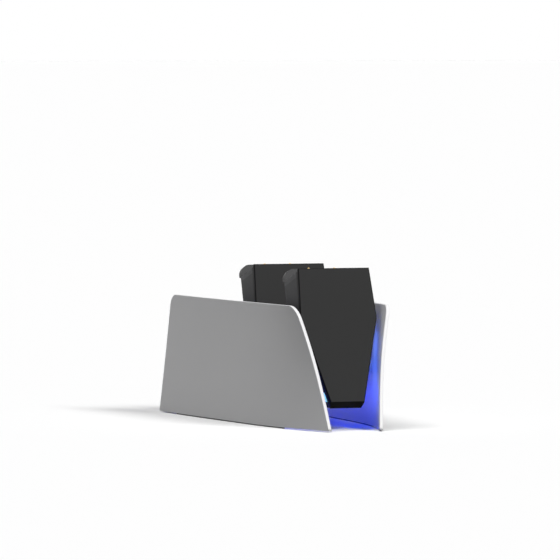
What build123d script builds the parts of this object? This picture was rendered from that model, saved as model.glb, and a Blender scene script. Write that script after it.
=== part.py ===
from build123d import *
from math import atan, cos, radians, sin, tan
import os

# Charging dock with two leaning bays, one behind the other.
# Lengths are in millimetres, +Z is up, -Y is the front, and the origin is on the floor at mid-dock.

# Whole dock
dock_depth = 160.0
lean_angle = 17.0
bay_pitch = 53.0
fit_gap = 0.15

# Fins: the two bowed side walls, by distance behind the front and half-width on the floor
fin_height = 50.6
fin_wall = 1.5
fin_top_radius = 7.0
fin_overrun = 6.0
bow_half = 11.7
bow_slope = 0.38
shoulder_place = 28.0
shoulder_half = 19.5
middle_place = 80.0
middle_half = 25.0
stern_half = 29.0
stern_slope = 0.03

# Outward curl of the fins' top edge
bow_curl = 5.75
shoulder_curl = 2.8
middle_curl = 0.9
stern_curl = 0.5
curl_power = 2.8
curl_levels = (0.0, 0.4, 0.75, 1.06)

# Foot strips under the fins
foot_height = 0.5
foot_inset = 0.2
foot_front = 32.0
foot_rear = 140.0

# Tongue: the V-shaped face plate, heights measured on its leaning face
tongue_setback = 5.7
tongue_thick = 5.0
tongue_skin = 2.0
tongue_rim = 3.0
tongue_draft = 1.0
tongue_bottom_z = 10.2
tongue_low_z = 11.8
tongue_low_half = 7.4
tongue_wide_z = 45.4
tongue_wide_half = 16.6
tongue_top_z = 65.5
tongue_top_half = 15.4
tongue_wide_radius = 8.0
tongue_corner_radius = 1.8
tongue_bevel_depth = 4.0
tongue_edge_radius = 0.5

# Pegs that hold the tongues
peg_size = 3.6
peg_reach = 3.5
peg_low_z = 20.0
peg_middle_z = 35.0
peg_top_drop = 9.5
peg_side = 6.5

# Core: the V-shaped keel behind the front tongue
core_step = 1.0
core_wall = 2.4
core_floor = 2.0
core_keel_radius = 1.2
tray_bottom_z = 8.9
rim_z = 44.0
lid_thick = 2.5
lid_lip_depth = 3.0
lid_lip_wall = 1.5

# Posts and seats of the two bays
post_half = 14.0
post_depth = 18.0
post_wall = 2.0
post_corner_radius = 2.0
seat_thick = 2.0
seat_skirt_depth = 2.5
seat_skirt_wall = 1.2
seat_stop_thick = 3.0
seat_stop_height = 5.0
seat_stop_radius = 4.0
block_half = 9.5
block_depth = 8.0
block_height = 2.5
block_chamfer = 0.7

# Contact boards and sprung pins
contact_drop = 4.3
contact_board_half = 11.4
contact_board_depth = 11.0
contact_board_thick = 1.2
stake_side = 9.2
stake_size = 2.8
stake_pin_size = 1.6
pin_spacing = 11.2
pin_stand = 1.3
pin_tip_radius = 0.7
pin_shoulder_radius = 0.95
pin_shoulder_length = 3.4
pin_chamfer = 0.4
barrel_radius = 1.5
barrel_bore_radius = 1.1
barrel_mouth_radius = 0.85
barrel_mouth_length = 0.6
barrel_floor = 0.6
barrel_sink = 0.4

# Light strips, LED boards and LEDs in the flanks
strip_z = 13.2
strip_height = 3.6
strip_groove = 1.2
strip_proud = 0.3
strip_rear_margin = 6.0
leg_setback = 4.5
leg_width = 3.2
leg_rim_margin = 4.0
led_count = 6
led_end_margin = 9.0
led_side = 1.8
led_tall = 1.0
led_window = 2.6
led_board_height = 3.2
led_board_thick = 0.6
led_board_end_gap = 1.0

# Main board and what stands on it
board_z = 32.0
board_thick = 1.6
board_length = 28.0
web_low_z = 18.0
web_thick = 1.6
web_front_inset = 3.6
web_rear_inset = 9.4
board_boss_size = 4.6
chip_side = 4.0
chip_tall = 1.0
chip_offset = 6.0
coil_radius = 2.9
coil_tall = 2.8
part_row_inset = 10.5
capacitor_long = 2.0
capacitor_wide = 1.25
capacitor_tall = 1.2
capacitor_pitch = 3.2
capacitor_row_inset = 16.0

# Power inlet
usb_width = 8.94
usb_tall = 3.26
usb_length = 7.3
usb_wall = 0.3
usb_blade_width = 6.7
usb_blade_tall = 0.7
usb_blade_length = 5.0

# Screws, and the facets that small round forms are made with
screw_shank_radius = 1.0
screw_head_radius = 1.8
screw_head_tall = 1.4
screw_bite = 7.0
screw_hole_gap = 0.2
screw_bite_gap = 0.05
board_screw_length = 5.0
head_facets = 12
shank_facets = 8
hidden_facets = 16

# Screw pads between tray and fins, and screw towers between tray and lid
pad_z = 25.0
pad_size = 6.4
pad_inner = 6.2
pad_stand = 2.2
front_pad_place = 38.0
rear_pad_margin = 18.0
tower_size = 5.6
tower_top_z = 34.0
tower_web = 3.0
front_tower_place = 56.0
tower_post_gap = 5.0
tower_board_gap = 2.65

# Inner leads
lead_width = 2.6
lead_thick = 0.6
lead_side = 6.0
lead_run_z = 38.8
lead_bend = 3.5
lead_board_inset = 4.0
led_lead_width = 1.2
led_lead_thick = 0.4
led_lead_rise = 9.0
led_lead_bend = 6.0

# Values worked out from the sizes above
lean = radians(lean_angle)
front_y = -dock_depth / 2
face_y = front_y + tongue_setback
deck_z = rim_z + lid_thick
flank_slope = (tongue_wide_half - tongue_low_half) / (tongue_wide_z - tongue_low_z)
flank = atan(flank_slope)
seat_middle = tongue_thick + post_depth / 2
post_top = tongue_top_z / cos(lean) - seat_thick
seat_top = post_top + seat_thick
contact_top = post_top - contact_drop
post_size = (2 * post_half, post_depth)
hollow_size = [size - 2 * post_wall for size in post_size]
board_top_z = board_z + board_thick
post_rear_y = face_y + bay_pitch + (tongue_thick + post_depth) / cos(lean) + rim_z * tan(lean)
rear_tower_y = post_rear_y + tower_post_gap + tower_size / 2
board_front_y = rear_tower_y + tower_size / 2 + tower_board_gap
board_rear_y = board_front_y + board_length
core_rear_y = board_rear_y + fit_gap + core_wall
web_places = (board_front_y + web_front_inset, board_rear_y - web_rear_inset)
usb_z = board_top_z + usb_tall / 2
pad_front_y = front_y + front_pad_place
pad_rear_y = core_rear_y - rear_pad_margin
pad_places = (pad_front_y, (pad_front_y + pad_rear_y) / 2, pad_rear_y)
tower_places = (front_y + front_tower_place, rear_tower_y)
tower_seat_z = tower_top_z - tower_web
led_lead_y = (web_places[0] + web_thick / 2 + pad_rear_y - pad_size / 2) / 2


def up(height):
    """Distance up the leaning face that reaches the given height."""
    return height / cos(lean)


def core_half(height):
    """Half-width of the core's flanks at the given height."""
    return tongue_low_half + (height - tongue_low_z) * flank_slope - core_step


def flank_inset(wall):
    """Sideways step that gives the leaning flank a wall of this thickness."""
    return wall / cos(flank)


def leaning_y(depth, height):
    """Y of the plane that lies this deep behind the front tongue's face, at the given height."""
    return face_y + depth / cos(lean) + height * tan(lean)


def face_plane(back):
    """Plane of a tongue's face: local Y runs up the slope and the normal points to the front."""
    return Plane(origin=(0, face_y + back, 0), x_dir=(1, 0, 0), z_dir=(0, -cos(lean), sin(lean)))


def bay_plane(back, rise):
    """Plane square to a post: local Y is the depth behind the tongue's face, local Z the rise."""
    origin = (0, face_y + back + rise * sin(lean), rise * cos(lean))
    return Plane(origin=origin, x_dir=(1, 0, 0), z_dir=(0, sin(lean), cos(lean)))


def bay_point(back, side, depth, rise):
    """Point of a bay given by its side step, depth behind the tongue's face and rise up the post."""
    y = face_y + back + rise * sin(lean) + depth * cos(lean)
    return Vector(side, y, rise * cos(lean) - depth * sin(lean))


def flank_plane(side, depth):
    """Plane of a flank at the light strip, sunk by depth: local X runs back, the normal points out."""
    half = core_half(strip_z)
    normal = Vector(side * cos(flank), 0, -sin(flank))
    return Plane(origin=Vector(side * half, 0, strip_z) - normal * depth, x_dir=(0, 1, 0), z_dir=normal)


def keep(piece, name):
    """Name a finished piece and write it out."""
    piece.label = name
    export_step(piece, f"parts/{name}.step")


def fin_points(level, inset):
    """Plan points of the right fin's outer face at a level, drawn in by inset."""
    curl = level**curl_power
    stations = (
        (-fin_overrun, bow_half - bow_slope * fin_overrun, bow_curl),
        (0, bow_half, bow_curl),
        (shoulder_place, shoulder_half, shoulder_curl),
        (middle_place, middle_half, middle_curl),
        (dock_depth, stern_half, stern_curl),
        (dock_depth + fin_overrun, stern_half + stern_slope * fin_overrun, stern_curl),
    )
    return [(half + outward * curl - inset, front_y + place) for place, half, outward in stations]


def fin_band(level, outer_inset, inner_inset):
    """Thin curved section of the right fin at a level, between two insets of its outer face."""
    with BuildSketch() as band:
        with BuildLine():
            outer = Spline(*fin_points(level, outer_inset))
            inner = Spline(*fin_points(level, inner_inset))
            Line(outer @ 0, inner @ 0)
            Line(outer @ 1, inner @ 1)
        make_face()
    return band.sketch


def fin_body(outer_inset, inner_inset):
    """Curved wall of the right fin between two insets of its outer face, before it is trimmed."""
    with BuildPart() as body:
        for level in curl_levels:
            with BuildSketch(Plane.XY.offset(level * fin_height)):
                add(fin_band(level, outer_inset, inner_inset))
        loft()
    return body.part


def fin_boss_bodies():
    """Screw bosses that reach from the core's pads to the middle of the right fin's wall."""
    reach = stern_half + bow_curl
    with BuildPart() as bosses:
        with BuildSketch(Plane.YZ.offset(core_half(pad_z) + pad_stand)):
            with Locations(*[(place, pad_z) for place in pad_places]):
                Rectangle(pad_size, pad_size)
        extrude(amount=reach)
        add(fin_body(fin_wall / 2, fin_wall / 2 + reach), mode=Mode.INTERSECT)
    return bosses.part


def right_fin_part():
    """Right fin: bowed wall with leaning ends, rounded top corners and screw bosses inside."""
    run = (fin_height - foot_height) * tan(lean)
    with BuildPart() as fin:
        add(fin_body(0, fin_wall))
        with BuildSketch(Plane.YZ) as outline:
            with BuildLine():
                Polyline(
                    (front_y, foot_height),
                    (front_y + run, fin_height),
                    (-front_y - run, fin_height),
                    (-front_y, foot_height),
                    close=True,
                )
            make_face()
            fillet(outline.vertices().group_by(Axis.Y)[-1], fin_top_radius)
        extrude(amount=2 * stern_half, mode=Mode.INTERSECT)
        add(fin_boss_bodies())
        with BuildSketch(Plane.YZ.offset(core_half(pad_z) + pad_stand)):
            with Locations(*[(place, pad_z) for place in pad_places]):
                RegularPolygon(screw_shank_radius + screw_bite_gap, shank_facets)
        extrude(amount=screw_bite, mode=Mode.SUBTRACT)
    return fin.part


def right_foot_part():
    """Right foot strip: thin rubber band under the fin, along its curve."""
    with BuildPart() as foot:
        with BuildSketch():
            add(fin_band(0, foot_inset, fin_wall - foot_inset))
            with Locations((0, front_y + (foot_front + foot_rear) / 2)):
                Rectangle(4 * stern_half, foot_rear - foot_front, mode=Mode.INTERSECT)
        extrude(amount=foot_height)
    return foot.part


def keel_section(bottom_z, top_z, inset):
    """V-shaped section of the core between two heights, with its flanks drawn in."""
    with BuildSketch() as section:
        with BuildLine():
            Polyline(
                (0, bottom_z),
                (core_half(bottom_z) - inset, bottom_z),
                (core_half(top_z) - inset, top_z),
                (0, top_z),
            )
            mirror(about=Plane.YZ)
        make_face()
    return section.sketch


def keel(bottom_z, top_z, inset, front_depth, rear_y):
    """V-shaped bar of the core, with its front parallel to the tongue and its rear upright."""
    with BuildPart() as bar:
        with BuildSketch(Plane.XZ):
            add(keel_section(bottom_z, top_z, inset))
        extrude(amount=dock_depth, both=True)
        with BuildSketch(Plane.YZ):
            with BuildLine():
                Polyline(
                    (leaning_y(front_depth, bottom_z), bottom_z),
                    (leaning_y(front_depth, top_z), top_z),
                    (rear_y, top_z),
                    (rear_y, bottom_z),
                    close=True,
                )
            make_face()
        extrude(amount=dock_depth, both=True, mode=Mode.INTERSECT)
    return bar.part


def tongue_outline(inset):
    """V outline of a tongue, as it lies on its face plane, drawn in by inset."""
    bottom_half = tongue_low_half - (tongue_low_z - tongue_bottom_z) * flank_slope
    with BuildSketch() as outline:
        with BuildLine():
            Polyline(
                (0, up(tongue_bottom_z)),
                (bottom_half, up(tongue_bottom_z)),
                (tongue_wide_half, up(tongue_wide_z)),
                (tongue_top_half, up(tongue_top_z)),
                (0, up(tongue_top_z)),
            )
            mirror(about=Plane.YZ)
        make_face()
        corners = outline.vertices().group_by(Axis.Y)
        fillet(corners[1], tongue_wide_radius)
        fillet(corners[0] + corners[-1], tongue_corner_radius)
        if inset:
            offset(amount=-inset, mode=Mode.REPLACE)
    return outline.sketch


def tongue_part(back, pegs, foot_plane):
    """Face plate of a bay: sides drawn in to its back, hollow behind, held by pegs, cut at foot_plane."""
    forward = Axis((0, 0, 0), (0, -cos(lean), sin(lean)))
    with BuildPart() as plate:
        with BuildSketch(face_plane(back)):
            add(tongue_outline(0))
        extrude(amount=-tongue_thick)
        fillet(plate.faces().sort_by(forward)[-1].edges(), tongue_edge_radius)
        rear = plate.faces().sort_by(forward)[0]
        chamfer(rear.edges(), tongue_draft, tongue_thick - 2 * tongue_edge_radius, reference=rear)
        with BuildSketch(face_plane(back).offset(-tongue_thick)):
            add(tongue_outline(tongue_rim))
        extrude(amount=tongue_thick - tongue_skin, mode=Mode.SUBTRACT)
        with BuildSketch(face_plane(back).offset(-tongue_skin)):
            with Locations(*pegs):
                Rectangle(peg_size, peg_size)
        extrude(amount=-(tongue_thick - tongue_skin + peg_reach))
        split(bisect_by=foot_plane, keep=Keep.TOP)
    return plate.part


def post_block(back, size, corner):
    """Leaning block of a post above the tray's rim, with its upright corners rounded if asked."""
    with BuildPart() as block:
        with BuildSketch(bay_plane(back, 0)) as plan:
            with Locations((0, seat_middle)):
                Rectangle(*size)
            if corner:
                fillet(plan.vertices(), corner)
        extrude(amount=post_top)
        split(bisect_by=Plane.XY.offset(rim_z), keep=Keep.TOP)
    return block.part


def seat_part(back):
    """Saddle on a post: plate, skirt, contact block, rear stop and stakes for the contact board."""
    pin_places = [(side * pin_spacing / 2, seat_middle) for side in (-1, 1)]
    stake_places = [(side * stake_side, seat_middle) for side in (-1, 1)]
    skirt_size = [size - 2 * fit_gap for size in hollow_size]
    with BuildPart() as saddle:
        with BuildSketch(bay_plane(back, post_top)):
            with Locations((0, seat_middle)):
                RectangleRounded(*post_size, post_corner_radius)
        extrude(amount=seat_thick)
        with BuildSketch(bay_plane(back, post_top)):
            with Locations((0, seat_middle)):
                Rectangle(*skirt_size)
                Rectangle(*[size - 2 * seat_skirt_wall for size in skirt_size], mode=Mode.SUBTRACT)
        extrude(amount=-seat_skirt_depth)
        with BuildSketch(bay_plane(back, seat_top)):
            with Locations((0, seat_middle)):
                SlotOverall(2 * block_half, block_depth)
        extrude(amount=block_height)
        block_rim = saddle.faces().sort_by(Axis((0, 0, 0), (0, sin(lean), cos(lean))))[-1].edges()
        chamfer(block_rim, block_chamfer)
        with BuildSketch(face_plane(back).offset(-(tongue_thick + post_depth))) as stop:
            with Locations((0, seat_top + seat_stop_height / 2)):
                Rectangle(2 * post_half, seat_stop_height)
            fillet(stop.vertices().group_by(Axis.Y)[-1], seat_stop_radius)
        extrude(amount=seat_stop_thick)
        with BuildSketch(bay_plane(back, contact_top)):
            with Locations(*stake_places):
                Rectangle(stake_size, stake_size)
        extrude(amount=contact_drop)
        with BuildSketch(bay_plane(back, contact_top)):
            with Locations(*stake_places):
                Rectangle(stake_pin_size, stake_pin_size)
        extrude(amount=-contact_board_thick)
        with BuildSketch(bay_plane(back, post_top)):
            with Locations(*pin_places):
                Circle(barrel_radius + fit_gap)
        extrude(amount=seat_thick + block_height, mode=Mode.SUBTRACT)
    return saddle.part


def barrels_part(back):
    """Two closed barrels on the contact board, narrowed at the mouth to hold the pins' shoulders."""
    top = seat_top + block_height - barrel_sink
    with BuildPart() as barrels:
        with BuildSketch(bay_plane(back, contact_top)):
            with Locations(*[(side * pin_spacing / 2, seat_middle) for side in (-1, 1)]):
                Circle(barrel_radius)
        extrude(amount=top - contact_top)
        with BuildSketch(bay_plane(back, contact_top + barrel_floor)):
            with Locations(*[(side * pin_spacing / 2, seat_middle) for side in (-1, 1)]):
                RegularPolygon(barrel_bore_radius, hidden_facets)
        extrude(amount=top - contact_top - barrel_floor - barrel_mouth_length, mode=Mode.SUBTRACT)
        with BuildSketch(bay_plane(back, top)):
            with Locations(*[(side * pin_spacing / 2, seat_middle) for side in (-1, 1)]):
                Circle(barrel_mouth_radius)
        extrude(amount=-barrel_mouth_length, mode=Mode.SUBTRACT)
    return barrels.part


def pin_part(back, side):
    """Sprung contact pin: shoulder inside the barrel and a bevelled tip above the block."""
    tip = seat_top + block_height + pin_stand
    shoulder_top = seat_top + block_height - barrel_sink - barrel_mouth_length - fit_gap
    place = (side * pin_spacing / 2, seat_middle)
    with BuildPart() as pin:
        with BuildSketch(bay_plane(back, shoulder_top)):
            with Locations(place):
                RegularPolygon(pin_shoulder_radius, hidden_facets)
        extrude(amount=-pin_shoulder_length)
        with BuildSketch(bay_plane(back, shoulder_top)):
            with Locations(place):
                Circle(pin_tip_radius)
        extrude(amount=tip - shoulder_top)
        top_face = pin.faces().sort_by(Axis((0, 0, 0), (0, sin(lean), cos(lean))))[-1]
        chamfer(top_face.edges(), pin_chamfer)
    return pin.part


def contact_board_part(back):
    """Small board under a seat, with holes for the seat's stakes."""
    stake_hole = stake_pin_size + 2 * fit_gap
    with BuildPart() as board:
        with BuildSketch(bay_plane(back, contact_top)):
            with Locations((0, seat_middle)):
                Rectangle(2 * contact_board_half, contact_board_depth)
            with Locations(*[(side * stake_side, seat_middle) for side in (-1, 1)]):
                Rectangle(stake_hole, stake_hole, mode=Mode.SUBTRACT)
        extrude(amount=-contact_board_thick)
    return board.part


os.makedirs("parts", exist_ok=True)

# Fins and foot strips
right_fin = right_fin_part()
right_foot = right_foot_part()
keep(right_fin, "right_fin")
keep(mirror(right_fin, about=Plane.YZ), "left_fin")
keep(right_foot, "right_foot_strip")
keep(mirror(right_foot, about=Plane.YZ), "left_foot_strip")

# Tongues, with the pegs of the tray and of the posts
post_pegs = [(side * peg_side, up(tongue_top_z - peg_top_drop)) for side in (-1, 1)]
tray_pegs = [(side * peg_side, up(peg_middle_z)) for side in (-1, 1)] + [(0, up(peg_low_z))]
bevel_top = bay_point(0, 0, 0, up(tongue_low_z))
bevel_foot = bay_point(0, 0, tongue_bevel_depth, up(tongue_bottom_z))
bevel_plane = Plane(origin=bevel_top, x_dir=(1, 0, 0), z_dir=Vector(1, 0, 0).cross(bevel_foot - bevel_top))
keep(tongue_part(0, post_pegs + tray_pegs, bevel_plane), "front_tongue")
keep(tongue_part(bay_pitch, post_pegs, Plane.XY.offset(deck_z)), "rear_tongue")

# Light strips: where they and their LED boards begin and end along the flanks
strip_front_y = leaning_y(tongue_thick + fit_gap, strip_z)
strip_rear_y = core_rear_y - strip_rear_margin
strip_length = strip_rear_y - strip_front_y
strip_overrun = strip_height
strip_cut_length = strip_length + strip_overrun
strip_middle_y = strip_rear_y - strip_cut_length / 2
led_run = strip_length - 2 * led_end_margin
led_places = [(strip_front_y + led_end_margin + led_run * i / (led_count - 1), 0) for i in range(led_count)]
led_board_front_y = leaning_y(tongue_thick + core_wall, strip_z + strip_height) + led_board_end_gap
led_board_rear_y = strip_rear_y - led_board_end_gap
led_board_length = led_board_rear_y - led_board_front_y
led_board_middle_y = (led_board_front_y + led_board_rear_y) / 2


def strip_outline(side, gap):
    """Outline of a light strip on its flank, grown by gap: a low run and a leg behind the tongue."""
    leg_front = tongue_thick + leg_setback - gap
    leg_rear = tongue_thick + leg_setback + leg_width + gap
    leg_top_z = rim_z - leg_rim_margin
    leg_top = side * ((leg_top_z - strip_z) / cos(flank) + gap)
    with BuildSketch() as outline:
        with Locations((strip_middle_y, 0)):
            Rectangle(strip_cut_length + 2 * gap, strip_height + 2 * gap)
        with BuildLine():
            Polyline(
                (leaning_y(leg_front, strip_z), 0),
                (leaning_y(leg_front, leg_top_z), leg_top),
                (leaning_y(leg_rear, leg_top_z), leg_top),
                (leaning_y(leg_rear, strip_z), 0),
                close=True,
            )
        make_face()
    return outline.sketch


with BuildPart() as core_tray:
    add(keel(tray_bottom_z, rim_z, 0, tongue_thick, core_rear_y))
    keel_edges = core_tray.edges().filter_by(Axis.Y).group_by(Axis.Z)[0]
    fillet(keel_edges, core_keel_radius)
    hollow_inset = flank_inset(core_wall)
    hollow_front = tongue_thick + core_wall
    hollow_rear = core_rear_y - core_wall
    add(
        keel(tray_bottom_z + core_floor, rim_z + core_wall, hollow_inset, hollow_front, hollow_rear),
        mode=Mode.SUBTRACT,
    )
    # Webs and bosses that carry the main board
    for place in web_places:
        with BuildSketch(Plane.XZ.offset(-place)):
            add(keel_section(web_low_z, board_z, flank_inset(core_wall / 2)))
        extrude(amount=web_thick / 2, both=True)
    with BuildSketch(Plane.XY.offset(web_low_z)):
        with Locations(*[(0, place) for place in web_places]):
            Rectangle(board_boss_size, board_boss_size)
    extrude(amount=board_z - web_low_z)
    with BuildSketch(Plane.XY.offset(board_z)):
        with Locations(*[(0, place) for place in web_places]):
            Circle(screw_shank_radius + screw_bite_gap)
    extrude(amount=-board_screw_length, mode=Mode.SUBTRACT)
    # Screw towers for the lid, open from below
    tower_spots = [(0, place) for place in tower_places]
    with BuildSketch(Plane.XY.offset(tray_bottom_z)):
        with Locations(*tower_spots):
            Rectangle(tower_size, tower_size)
    extrude(amount=tower_top_z - tray_bottom_z)
    with BuildSketch(Plane.XY.offset(tray_bottom_z)):
        with Locations(*tower_spots):
            Circle(screw_head_radius + screw_hole_gap)
    extrude(amount=tower_seat_z - tray_bottom_z, mode=Mode.SUBTRACT)
    with BuildSketch(Plane.XY.offset(tower_seat_z)):
        with Locations(*tower_spots):
            Circle(screw_shank_radius + screw_hole_gap)
    extrude(amount=tower_web, mode=Mode.SUBTRACT)
    # Screw pads for the fins
    for side in (-1, 1):
        with BuildSketch(Plane.YZ.offset(side * pad_inner)):
            with Locations(*[(place, pad_z) for place in pad_places]):
                Rectangle(pad_size, pad_size)
        extrude(amount=side * (core_half(pad_z) + pad_stand - pad_inner))
        with BuildSketch(Plane.YZ.offset(side * pad_inner)):
            with Locations(*[(place, pad_z) for place in pad_places]):
                RegularPolygon(screw_shank_radius + screw_hole_gap, shank_facets)
        extrude(amount=side * (core_half(pad_z) + pad_stand - pad_inner), mode=Mode.SUBTRACT)
    # Grooves for the light strips, open to the tongue, and windows for the LEDs behind them
    for side in (-1, 1):
        with BuildSketch(flank_plane(side, 0)):
            add(strip_outline(side, fit_gap))
        extrude(amount=-strip_groove, mode=Mode.SUBTRACT)
        with BuildSketch(flank_plane(side, strip_groove)):
            with Locations(*led_places):
                Rectangle(led_window, led_window)
        extrude(amount=-(core_wall - strip_groove), mode=Mode.SUBTRACT)
    # Holes for the tongue's pegs and for the power inlet
    with BuildSketch(face_plane(0).offset(-tongue_thick)):
        with Locations(*tray_pegs):
            Rectangle(peg_size + 2 * fit_gap, peg_size + 2 * fit_gap)
    extrude(amount=-core_wall, mode=Mode.SUBTRACT)
    with BuildSketch(Plane.XZ.offset(-core_rear_y)):
        with Locations((0, usb_z)):
            SlotOverall(usb_width + 2 * fit_gap, usb_tall + 2 * fit_gap)
    extrude(amount=core_wall, mode=Mode.SUBTRACT)
keep(core_tray.part, "core_tray")

with BuildPart() as core_lid:
    # Deck, with a lip that drops inside the tray's rim
    with BuildSketch(Plane.YZ):
        with BuildLine():
            Polyline(
                (leaning_y(tongue_thick, rim_z), rim_z),
                (leaning_y(tongue_thick, deck_z), deck_z),
                (core_rear_y, deck_z),
                (core_rear_y, rim_z),
                close=True,
            )
        make_face()
    extrude(amount=core_half(rim_z), both=True)
    lip_inset = core_wall + fit_gap
    lip_low_z = rim_z - lid_lip_depth
    hollow = lip_inset + lid_lip_wall
    add(keel(lip_low_z, rim_z, flank_inset(lip_inset), tongue_thick + lip_inset, core_rear_y - lip_inset))
    add(
        keel(lip_low_z, rim_z, flank_inset(hollow), tongue_thick + hollow, core_rear_y - hollow),
        mode=Mode.SUBTRACT,
    )
    # Bosses that the lid screws bite into
    with BuildSketch(Plane.XY.offset(tower_top_z)):
        with Locations(*tower_spots):
            Rectangle(tower_size, tower_size)
    extrude(amount=rim_z - tower_top_z)
    with BuildSketch(Plane.XY.offset(tower_top_z)):
        with Locations(*tower_spots):
            Circle(screw_shank_radius + screw_bite_gap)
    extrude(amount=screw_bite, mode=Mode.SUBTRACT)
    # Hollow leaning posts, with holes for the tongues' pegs
    for back in (0, bay_pitch):
        add(post_block(back, post_size, post_corner_radius))
        add(post_block(back, hollow_size, 0), mode=Mode.SUBTRACT)
        with BuildSketch(face_plane(back).offset(-tongue_thick)):
            with Locations(*post_pegs):
                Rectangle(peg_size + 2 * fit_gap, peg_size + 2 * fit_gap)
        extrude(amount=-post_wall, mode=Mode.SUBTRACT)
keep(core_lid.part, "core_lid")

# Both bays: seat, contact board, barrels and pins
for bay, back in (("front", 0), ("rear", bay_pitch)):
    keep(seat_part(back), f"{bay}_seat")
    keep(contact_board_part(back), f"{bay}_contact_board")
    keep(barrels_part(back), f"{bay}_pin_barrels")
    keep(pin_part(back, -1), f"{bay}_left_pin")
    keep(pin_part(back, 1), f"{bay}_right_pin")

# Light strips, LED boards and LEDs on both flanks
for hand, side in (("left", -1), ("right", 1)):
    with BuildPart() as light_strip:
        with BuildSketch(flank_plane(side, strip_groove)):
            add(strip_outline(side, 0))
        extrude(amount=strip_groove + strip_proud)
        split(bisect_by=face_plane(0).offset(-(tongue_thick + fit_gap)), keep=Keep.BOTTOM)
    keep(light_strip.part, f"{hand}_light_strip")

    with BuildPart() as led_board:
        with BuildSketch(flank_plane(side, core_wall)):
            with Locations((led_board_middle_y, 0)):
                Rectangle(led_board_length, led_board_height)
        extrude(amount=-led_board_thick)
    keep(led_board.part, f"{hand}_led_board")

    with BuildPart() as leds:
        with BuildSketch(flank_plane(side, core_wall)):
            with Locations(*led_places):
                Rectangle(led_side, led_side)
        extrude(amount=led_tall)
    keep(leds.part, f"{hand}_leds")

# Main board and what stands on it
board_half = core_half(board_z) - flank_inset(core_wall) - fit_gap
board_middle_y = (board_front_y + board_rear_y) / 2
with BuildPart() as main_board:
    with BuildSketch(Plane.XY.offset(board_z)):
        with Locations((0, board_middle_y)):
            Rectangle(2 * board_half, board_length)
        with Locations(*[(0, place) for place in web_places]):
            RegularPolygon(screw_shank_radius + screw_hole_gap, shank_facets, mode=Mode.SUBTRACT)
    extrude(amount=board_thick)
keep(main_board.part, "main_board")

with BuildPart() as charge_chips:
    with BuildSketch(Plane.XY.offset(board_top_z)):
        with Locations(*[(side * chip_offset, board_front_y + part_row_inset) for side in (-1, 1)]):
            Rectangle(chip_side, chip_side)
    extrude(amount=chip_tall)
keep(charge_chips.part, "charge_chips")

with BuildPart() as power_coil:
    with BuildSketch(Plane.XY.offset(board_top_z)):
        with Locations((0, board_front_y + part_row_inset)):
            RegularPolygon(coil_radius, 8)
    extrude(amount=coil_tall)
keep(power_coil.part, "power_coil")

with BuildPart() as capacitors:
    with BuildSketch(Plane.XY.offset(board_top_z)):
        with Locations((0, board_front_y + capacitor_row_inset)):
            with GridLocations(2 * chip_offset, capacitor_pitch, 2, 2):
                Rectangle(capacitor_wide, capacitor_long)
    extrude(amount=capacitor_tall)
keep(capacitors.part, "capacitors")

# Power inlet: a folded metal shell, closed behind, with a blade that carries the contacts
with BuildPart() as usb_shell:
    with BuildSketch(Plane.XZ.offset(-core_rear_y)):
        with Locations((0, usb_z)):
            SlotOverall(usb_width, usb_tall)
    extrude(amount=usb_length)
    with BuildSketch(Plane.XZ.offset(-core_rear_y)):
        with Locations((0, usb_z)):
            SlotOverall(usb_width - 2 * usb_wall, usb_tall - 2 * usb_wall)
    extrude(amount=usb_length - usb_wall, mode=Mode.SUBTRACT)
keep(usb_shell.part, "usb_shell")

with BuildPart() as usb_blade:
    with BuildSketch(Plane.XZ.offset(-(core_rear_y - usb_length + usb_wall))):
        with Locations((0, usb_z)):
            Rectangle(usb_blade_width, usb_blade_tall)
    extrude(amount=-usb_blade_length)
keep(usb_blade.part, "usb_contact_tongue")


def screw_group(plane, places, length):
    """Screws whose heads stand on a plane and whose shanks run down through it, with few facets."""
    with BuildPart() as screws:
        with BuildSketch(plane):
            with Locations(*places):
                RegularPolygon(screw_head_radius, head_facets)
        extrude(amount=screw_head_tall)
        with BuildSketch(plane):
            with Locations(*places):
                RegularPolygon(screw_shank_radius, shank_facets)
        extrude(amount=-length)
    return screws.part


# Screws: from below into the lid, from above into the board webs, from inside the tray into the fins
board_spots = [(0, place) for place in web_places]
board_shank = board_thick + board_screw_length
keep(screw_group(Plane.XY.offset(board_top_z), board_spots, board_shank), "board_screws")

below = Plane(origin=(0, 0, tower_seat_z), x_dir=(1, 0, 0), z_dir=(0, 0, -1))
lid_spots = [(0, -place) for place in tower_places]
keep(screw_group(below, lid_spots, tower_web + screw_bite), "lid_screws")

pad_length = core_half(pad_z) + pad_stand - pad_inner
inside = Plane(origin=(pad_inner, 0, 0), x_dir=(0, -1, 0), z_dir=(-1, 0, 0))
fin_spots = [(-place, pad_z) for place in pad_places]
right_fin_screws = screw_group(inside, fin_spots, pad_length + screw_bite)
left_fin_screws = mirror(right_fin_screws, about=Plane.YZ)
keep(Compound([*right_fin_screws.solids(), *left_fin_screws.solids()]), "fin_screws")


def lead(points, bend, width_way, width, thick):
    """Flat ribbon lead along straight runs joined by arcs, with its width along one direction."""
    with BuildPart() as ribbon:
        with BuildLine() as route:
            FilletPolyline(*points, radius=bend)
        with BuildSketch(Plane(origin=route.line @ 0, x_dir=width_way, z_dir=route.line % 0)):
            Rectangle(width, thick)
        sweep()
    return ribbon.part


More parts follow.
